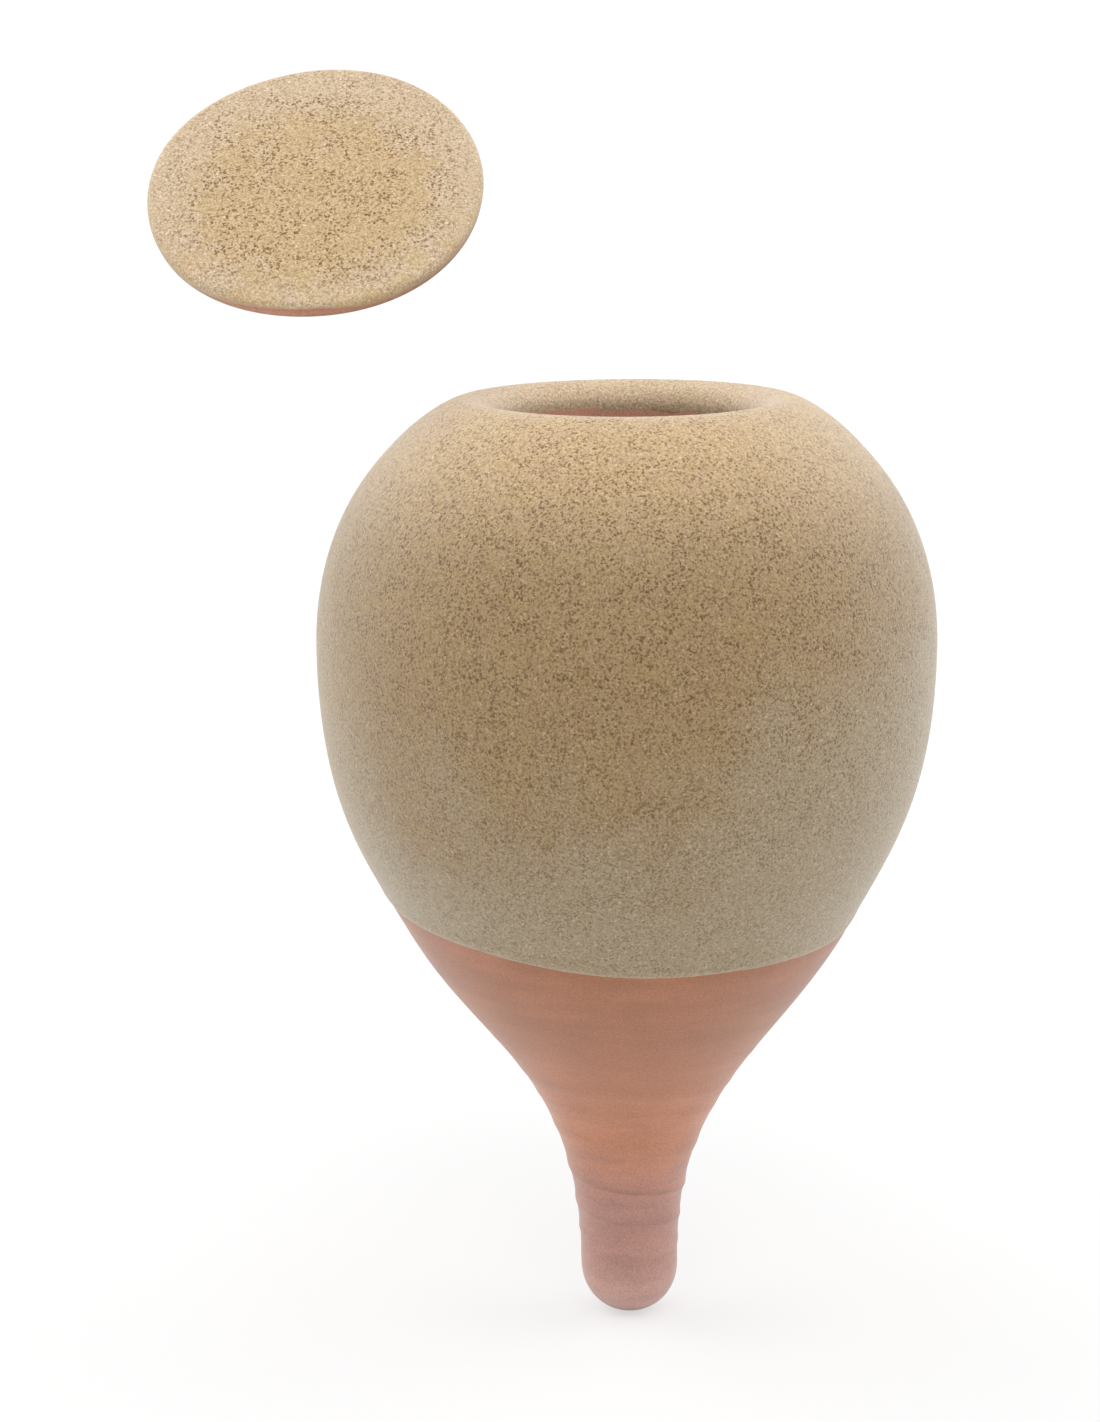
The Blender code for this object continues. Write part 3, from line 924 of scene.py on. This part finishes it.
def finish_glaze(glaze, tone, specks, speck_tone, edge, edge_tone, gloss, sheen):
    """Grain, pale grains and specks over a tone, then the gloss and the relief."""
    fine = glaze.ease(glaze.grain(FINE_GRAIN, 2.0, 0.6), 0.3, 0.7)
    tone = glaze.vectors("MULTIPLY", tone, glaze.blend(fine, DEEP_TINT, LIGHT_TINT))
    pale = glaze.ease(glaze.grain(PALE_GRAIN, 1.0), 0.58, 0.74, 0.0, 0.8)
    pale_tone = glaze.vectors("ADD", glaze.scaled(tone, PALE_GAIN), PALE_LIFT)
    tone = glaze.blend(pale, tone, pale_tone)
    tone = glaze.blend(glaze.ease(edge, EDGE_BAND, EDGE_CREAMY, 0.0, 0.6), tone, edge_tone)
    away = glaze.ease(edge, EDGE_CLEAR, EDGE_BAND, 0.3, 1.0)
    specks = glaze.maths("MULTIPLY", specks, away)
    colour = glaze.blend(specks, tone, speck_tone)
    glaze.surface(colour, glaze.ease(fine, 0.0, 1.0, *GLAZE_ROUGHNESS), gloss, sheen)
    glaze.plug(glaze.shader.inputs["Sheen Tint"], GLAZE_SHEEN_TINT)
    pits = glaze.maths("MULTIPLY", specks, SPECK_PIT)
    glaze.bump(glaze.maths("SUBTRACT", glaze.grain(RELIEF_SIZE, 3.0, 0.6), pits), RELIEF)
    return glaze.material


# %% The vessel's glaze
TAN = (0.307, 0.205, 0.085)
ROSY_TAN = (0.305, 0.199, 0.091)
GREY_TAN = (0.322, 0.247, 0.146)
# The lip and the inside of the mouth: paler glaze with painted light from above, a little darker
# where the coat ends.
LIP_PALE_AND_PAINTED_LIGHT = (0.570, 0.425, 0.268)
DIM_TAN = (0.520, 0.400, 0.250)
CREAM = (0.40, 0.31, 0.19)
PLAIN = (1.0, 1.0, 1.0)
# On the shoulder the glaze is paler, and a painted highlight from the lamps above is laid on it.
SHOULDER_PALE_AND_PAINTED_HIGHLIGHT = (1.63, 1.70, 1.94)
SHOULDER_FROM, SHOULDER_FULL = 94.0 * MM, 129.0 * MM
GREY_FROM, GREY_FULL = 60.0 * MM, 14.0 * MM
GREY_DRIFT = 42.0 * MM
GREY_DRIFT_SIZE = 24.0 * MM
GREY_LEAN = 0.7
ROSY_SIZE = 4.5 * MM
VESSEL_DOTS = 0.92 * MM
SPECKS_FULL = 105.0 * MM

# Distances from the coat's end in the mouth, where each change begins and where it is full.
LIP_FROM, LIP_FULL = 18.0 * MM, 7.0 * MM
LIP_SPECKS_FROM, LIP_SPECKS_FULL = 15.0 * MM, 8.0 * MM
DIM_FROM, DIM_FULL = 5.0 * MM, 1.0 * MM

GLAZE_GLOSS = 0.45
GLAZE_SHEEN = 0.44


def make_vessel_glaze(name, lip_at):
    """Satin tan glaze. lip_at is the coat's length from its foot to its end in the mouth."""
    glaze = Finish(name)
    edge = glaze.attribute("from_edge")
    height = glaze.part_of(glaze.place, "Z")
    specks = lay_flecks(glaze, VESSEL_DOTS, fewest=0.62)
    upward = glaze.ease(height, 0.0, SPECKS_FULL, 0.55, 1.0)
    specks = glaze.maths("MULTIPLY", specks, upward)
    near_lip = glaze.ease(edge, lip_at - LIP_SPECKS_FROM, lip_at - LIP_SPECKS_FULL, 1.0, 0.45)
    specks = glaze.maths("MULTIPLY", specks, near_lip)
    tone = glaze.blend(glaze.ease(glaze.grain(ROSY_SIZE, 2.0), 0.36, 0.66), TAN, ROSY_TAN)
    patchy = glaze.drifted(height, glaze.grain(GREY_DRIFT_SIZE, 3.0), GREY_DRIFT)
    rightward = glaze.maths("MAXIMUM", glaze.part_of(glaze.place, "X"), 0.0)
    patchy = glaze.maths("MULTIPLY_ADD", rightward, -GREY_LEAN, patchy)
    tone = glaze.blend(glaze.ease(patchy, GREY_FROM, GREY_FULL, 0.0, 0.95), tone, GREY_TAN)
    # Paler glaze with a painted highlight on the shoulder; the specks there are lifted with it.
    lift = glaze.blend(glaze.ease(height, SHOULDER_FROM, SHOULDER_FULL), PLAIN, SHOULDER_PALE_AND_PAINTED_HIGHLIGHT)
    tone = glaze.vectors("MULTIPLY", tone, lift)
    # Paler glaze with painted light from above, on the lip and down inside the mouth.
    tone = glaze.blend(glaze.ease(edge, lip_at - LIP_FROM, lip_at - LIP_FULL), tone, LIP_PALE_AND_PAINTED_LIGHT)
    # A little darker where the coat ends in the mouth, still with painted light from above.
    tone = glaze.blend(glaze.ease(edge, lip_at - DIM_FROM, lip_at - DIM_FULL), tone, DIM_TAN)
    speck_tone = glaze.vectors("MULTIPLY", SPECK, lift)
    return finish_glaze(glaze, tone, specks, speck_tone, edge, CREAM, GLAZE_GLOSS, GLAZE_SHEEN)


# %% The lid's glaze
LID_TAN = (0.528, 0.382, 0.206)
LID_ROSY = (0.560, 0.428, 0.282)
LID_EDGE = (0.460, 0.324, 0.220)
# Heights of the lid at rest over which painted light turns it from darker to paler.
LID_PAINTED_LIGHT_FROM, LID_PAINTED_LIGHT_FULL = 150.0 * MM, 206.0 * MM
LID_ROSY_SIZE = 6.0 * MM
LID_SPECKS_FROM, LID_SPECKS_FULL = 1.0 * MM, 13.0 * MM
LID_RIM_FROM, LID_RIM_TO = 5.0 * MM, 24.0 * MM
LID_DOTS = 1.05 * MM
LID_GLOSS = 0.20
LID_SHEEN = 0.20


def make_lid_glaze(name):
    """The same glaze on the lid, with its specks in clusters and fewer of them at the edge."""
    glaze = Finish(name)
    edge = glaze.attribute("from_edge")
    specks = lay_flecks(glaze, LID_DOTS, fewest=0.45)
    inner = glaze.ease(edge, LID_SPECKS_FROM, LID_SPECKS_FULL, 0.45, 1.0)
    specks = glaze.maths("MULTIPLY", specks, inner)
    near_edge = glaze.ease(edge, LID_RIM_FROM, LID_RIM_TO, 0.25, -0.2)
    rosy = glaze.maths("ADD", glaze.grain(LID_ROSY_SIZE, 2.0), near_edge)
    # Painted light: darker low on the lid and paler towards its top, as it lies at rest.
    upward = glaze.ease(glaze.part_of(glaze.place, "Z"), LID_PAINTED_LIGHT_FROM, LID_PAINTED_LIGHT_FULL, -0.22, 0.14)
    rosy = glaze.maths("ADD", rosy, upward)
    tone = glaze.blend(glaze.ease(rosy, 0.3, 0.72), LID_TAN, LID_ROSY)
    return finish_glaze(glaze, tone, specks, LID_SPECK, edge, LID_EDGE, LID_GLOSS, LID_SHEEN)


vessel_glaze_finish = make_vessel_glaze("speckled_glaze_vessel", lip_at=COAT_LENGTH)
lid_glaze_finish = make_lid_glaze("speckled_glaze_lid")
print("glazes:", vessel_glaze_finish.name, "and", lid_glaze_finish.name)

# %% [markdown]
# ## Bare terracotta
#
# Fired clay is matte and dusty. Its colour changes on the way down: brown just under the glaze,
# orange on the taper, and pale and pink towards the tip, where painted light from below is laid
# over the clay's own paler tone. Inside the mouth the clay is painted lighter, as painted light
# from above. Faint streaks run round the pot, as a wiping hand leaves them, so the noise for them
# is squeezed in height.
# The step under each throwing ring holds a little shade, which the attribute `ring_step` carries.
# The lid's band turns olive-brown low on its edge, below a mottled line.

# %% Tones of the clay
BROWN_CLAY = (0.372, 0.157, 0.083)
TERRACOTTA = (0.500, 0.218, 0.128)
# Towards the tip the clay is paler and pinker, and painted light from below is added to these two
# tones.
PALE_CLAY_AND_PAINTED_LIGHT = (0.452, 0.245, 0.200)
TIP_CLAY_AND_PAINTED_LIGHT = (0.560, 0.345, 0.290)
# Clay inside the mouth, made paler as painted light from above.
INNER_CLAY_PAINTED_LIGHT = (0.600, 0.300, 0.198)
LID_CLAY = (0.490, 0.235, 0.165)
OLIVE_CLAY = (0.300, 0.215, 0.125)
CLAY_GLOSS = 0.25
CLAY_SHEEN = 0.45
BLOTCH_SIZE = 14.0 * MM
DUST_SIZE = 0.45 * MM
DUST_SHADE = (0.86, 1.14)
CLAY_ROUGHNESS = (0.92, 0.84)
CLAY_RELIEF = 0.09 * MM
CLAY_RELIEF_SIZE = 0.5 * MM


def dusty(clay):
    """Blotches and fine dust, as a shade about 1, and the dust alone."""
    blotch = clay.ease(clay.grain(BLOTCH_SIZE, 3.0), 0.35, 0.65, 0.96, 1.04)
    dust = clay.ease(clay.grain(DUST_SIZE, 3.0), 0.25, 0.75, *DUST_SHADE)
    return clay.maths("MULTIPLY", blotch, dust), dust


def finish_clay(clay, tone, shade, dust):
    """Shade over a tone, then the dull surface and its relief."""
    roughness = clay.ease(dust, *DUST_SHADE, *CLAY_ROUGHNESS)
    clay.surface(clay.scaled(tone, shade), roughness, CLAY_GLOSS, CLAY_SHEEN)
    clay.bump(clay.grain(CLAY_RELIEF_SIZE, 4.0, 0.6), CLAY_RELIEF)
    return clay.material


# %% The vessel's clay
STREAK_SIZE = 26.0 * MM
STREAK_SQUEEZE = (1.0, 1.0, 7.0)
STREAK_DRIFT = 7.0 * MM
STEP_SHADE = 0.76
# The height where each tone begins, where it is full, and whether the streaks move its edge.
# Towards the tip the tones also carry painted light from below, and the last zone is painted light
# inside the mouth.
CLAY_ZONES = (
    (-16.0 * MM, -46.0 * MM, TERRACOTTA, True),
    (-49.0 * MM, -72.0 * MM, PALE_CLAY_AND_PAINTED_LIGHT, True),
    (-80.0 * MM, -100.0 * MM, TIP_CLAY_AND_PAINTED_LIGHT, False),
    (90.0 * MM, 118.0 * MM, INNER_CLAY_PAINTED_LIGHT, False),
)


def make_vessel_clay(name):
    """Bare clay from brown to orange to pink on the way down, with painted light near the tip and
    in the mouth.
    """
    clay = Finish(name)
    shade, dust = dusty(clay)
    height = clay.part_of(clay.place, "Z")
    squeezed = clay.vectors("MULTIPLY", clay.place, STREAK_SQUEEZE)
    wiped = clay.grain(STREAK_SIZE, 2.0, place=squeezed)
    shade = clay.maths("MULTIPLY", shade, clay.ease(wiped, 0.32, 0.68, 0.94, 1.06))
    streaky = clay.drifted(height, wiped, STREAK_DRIFT)
    tone = BROWN_CLAY
    for begins, full, zone_tone, streaked in CLAY_ZONES:
        share = clay.ease(streaky if streaked else height, begins, full)
        tone = clay.blend(share, tone, zone_tone)
    step = clay.ease(clay.attribute("ring_step"), 0.0, 1.0, 1.0, STEP_SHADE)
    return finish_clay(clay, tone, clay.maths("MULTIPLY", shade, step), dust)


# %% The lid's clay
MOTTLE_SIZE = 1.6 * MM
OLIVE_LINE_WAVE = 2.4 * MM
OLIVE_LINE_DROP = -0.5 * MM
OLIVE_FROM, OLIVE_FULL = 0.6 * MM, 0.1 * MM


def make_lid_clay(name):
    """Bare clay on the lid's edge and underside, mottled, with olive flecks low on the edge."""
    clay = Finish(name)
    shade, dust = dusty(clay)
    mottle = clay.grain(MOTTLE_SIZE, 2.0)
    line = clay.maths("MULTIPLY_ADD", mottle, OLIVE_LINE_WAVE, OLIVE_LINE_DROP)
    over_line = clay.maths("SUBTRACT", clay.attribute("edge_height"), line)
    tone = clay.blend(clay.ease(mottle, 0.35, 0.65), LID_CLAY, TERRACOTTA)
    olive_share = clay.ease(over_line, OLIVE_FROM, OLIVE_FULL, 0.0, 0.9)
    return finish_clay(clay, clay.blend(olive_share, tone, OLIVE_CLAY), shade, dust)


vessel_clay_finish = make_vessel_clay("bare_terracotta_vessel")
lid_clay_finish = make_lid_clay("bare_terracotta_lid")
print("clays:", vessel_clay_finish.name, "and", lid_clay_finish.name)

# %% [markdown]
# ## Put the pieces in place
#
# Each finished piece stands for one solid of the imported model, takes one of the finishes made
# above and rides on a body, so that the lid's two pieces swing together when the joint moves.


# %% Make the four pieces
def place_piece(name, shape, finish, body, node):
    """Make a finished shape an object that stands for a node and rides on a body."""
    mesh = bpy.data.meshes.new(name)
    shape.to_mesh(mesh)
    shape.free()
    mesh.materials.append(finish)
    mesh.shade_smooth()
    piece = bpy.data.objects.new(name, mesh)
    bpy.context.scene.collection.objects.link(piece)
    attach(piece, body)
    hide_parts(node)
    print(name, "rides on", body, "with", len(mesh.polygons), "faces")


place_piece(
    "olla_clay", vessel_clay, vessel_clay_finish, "vessel", "vessel_body"
)
place_piece(
    "olla_glaze", vessel_coat, vessel_glaze_finish, "vessel", "vessel_glaze"
)
place_piece("lid_clay", lid_clay, lid_clay_finish, "lid", "lid_body")
place_piece("lid_glaze_coat", lid_coat, lid_glaze_finish, "lid", "lid_glaze")

# %% [markdown]
# ## Floor, light and camera
#
# The studio is plain: a pale floor that runs past the picture's edges, soft light from above and
# from all round, and a long lens that looks slightly down. The floor is white where the camera
# sees it, but its shading stays in, so the pot's own shadow still shows on it. The background is
# white for the same rays, while its light on the pot stays low.

# %% Floor
FLOOR_SIZE = 30.0
FLOOR_GAP = 0.2 * MM
floor_mesh = bpy.data.meshes.new("floor")
floor_shape = bmesh.new()
floor_place = (0.0, 0.0, cad_box[0][2] - FLOOR_GAP)
bmesh.ops.create_grid(floor_shape, x_segments=1, y_segments=1, size=FLOOR_SIZE)
bmesh.ops.translate(floor_shape, vec=floor_place, verts=floor_shape.verts)
floor_shape.to_mesh(floor_mesh)
floor_shape.free()
floor = bpy.data.objects.new("floor", floor_mesh)
bpy.context.scene.collection.objects.link(floor)
print("floor at", round(floor_place[2] / MM, 1), "mm")


# %% Paper on the floor
def seen_directly(nodes, links):
    """1 for rays of the camera, and for those that glossy and clear surfaces send out."""
    path = nodes.new("ShaderNodeLightPath")
    total = path.outputs["Is Camera Ray"]
    for other in ("Is Glossy Ray", "Is Transmission Ray"):
        node = nodes.new("ShaderNodeMath")
        node.operation = "MAXIMUM"
        links.new(total, node.inputs[0])
        links.new(path.outputs[other], node.inputs[1])
        total = node.outputs["Value"]
    return total


FLOOR_PAPER = (0.80, 0.80, 0.80, 1.0)
FLOOR_SEEN = (0.32, 0.32, 0.32, 1.0)
FLOOR_GLOW = 0.60

paper = bpy.data.materials.new("floor_paper")
paper.use_nodes = True
nodes, links = paper.node_tree.nodes, paper.node_tree.links
nodes.clear()
bounce = nodes.new("ShaderNodeBsdfDiffuse")
bounce.inputs["Color"].default_value = FLOOR_PAPER
seen = nodes.new("ShaderNodeBsdfDiffuse")
seen.inputs["Color"].default_value = FLOOR_SEEN
glow = nodes.new("ShaderNodeEmission")
glow.inputs["Strength"].default_value = FLOOR_GLOW
both = nodes.new("ShaderNodeAddShader")
links.new(seen.outputs[0], both.inputs[0])
links.new(glow.outputs[0], both.inputs[1])
choice = nodes.new("ShaderNodeMixShader")
links.new(seen_directly(nodes, links), choice.inputs["Fac"])
links.new(bounce.outputs[0], choice.inputs[1])
links.new(both.outputs[0], choice.inputs[2])
links.new(choice.outputs[0], nodes.new("ShaderNodeOutputMaterial").inputs["Surface"])
floor_mesh.materials.append(paper)

# %% Light from all round
SKY = 0.2
WHITE = (1.0, 1.0, 1.0, 1.0)
world = bpy.data.worlds.new("studio")
world.use_nodes = True
bpy.context.scene.world = world
nodes, links = world.node_tree.nodes, world.node_tree.links
nodes.clear()
dim = nodes.new("ShaderNodeBackground")
dim.inputs["Color"].default_value = WHITE
dim.inputs["Strength"].default_value = SKY
white = nodes.new("ShaderNodeBackground")
white.inputs["Color"].default_value = WHITE
choice = nodes.new("ShaderNodeMixShader")
links.new(seen_directly(nodes, links), choice.inputs["Fac"])
links.new(dim.outputs[0], choice.inputs[1])
links.new(white.outputs[0], choice.inputs[2])
links.new(choice.outputs[0], nodes.new("ShaderNodeOutputWorld").inputs["Surface"])

# %% [markdown]
# The lamps are six wide suns, and two of them stand behind the pot. Their powers and the colours
# of the finishes were set together, by rendering and looking again.


# %% Soft lamps
def hang_lamp(name, power, spread, tilt, turned):
    """A wide sun. It shines straight down until it is tilted towards the front and turned."""
    data = bpy.data.lights.new(name, "SUN")
    data.energy = power
    data.angle = math.radians(spread)
    lamp = bpy.data.objects.new(name, data)
    lamp.rotation_euler = (math.radians(-tilt), 0.0, math.radians(turned))
    bpy.context.scene.collection.objects.link(lamp)


hang_lamp("overhead", power=1.10, spread=70, tilt=0, turned=0)
hang_lamp("front", power=1.21, spread=60, tilt=-40, turned=0)
hang_lamp("left", power=0.83, spread=50, tilt=60, turned=90)
hang_lamp("right", power=0.88, spread=50, tilt=60, turned=-90)
hang_lamp("back_left", power=0.90, spread=50, tilt=55, turned=45)
hang_lamp("back_right", power=0.68, spread=50, tilt=55, turned=-45)
print("lamps:", len(bpy.data.lights))

# %% Camera
FOCAL_PIXELS = 3850.0
PICTURE_HEIGHT = 1422.0
SENSOR = 36.0
CAMERA_AT = (-0.0186, -0.917, 0.244)
LOOK_DOWN = math.radians(11.8)
ROLL = math.radians(-0.27)
camera_data = bpy.data.cameras.new("camera")
camera_data.sensor_fit = "VERTICAL"
camera_data.sensor_height = SENSOR
camera_data.lens = FOCAL_PIXELS / PICTURE_HEIGHT * SENSOR
camera_data.clip_end = 2.0 * FLOOR_SIZE
camera = bpy.data.objects.new("camera", camera_data)
tilt = Matrix.Rotation(0.5 * math.pi - LOOK_DOWN, 4, "X")
camera.matrix_world = Matrix.Translation(CAMERA_AT) @ tilt @ Matrix.Rotation(ROLL, 4, "Z")
bpy.context.scene.collection.objects.link(camera)
bpy.context.scene.camera = camera
bpy.context.scene.view_settings.view_transform = "Standard"
print("lens", round(camera_data.lens, 1), "mm, down", round(math.degrees(LOOK_DOWN), 1), "degrees")
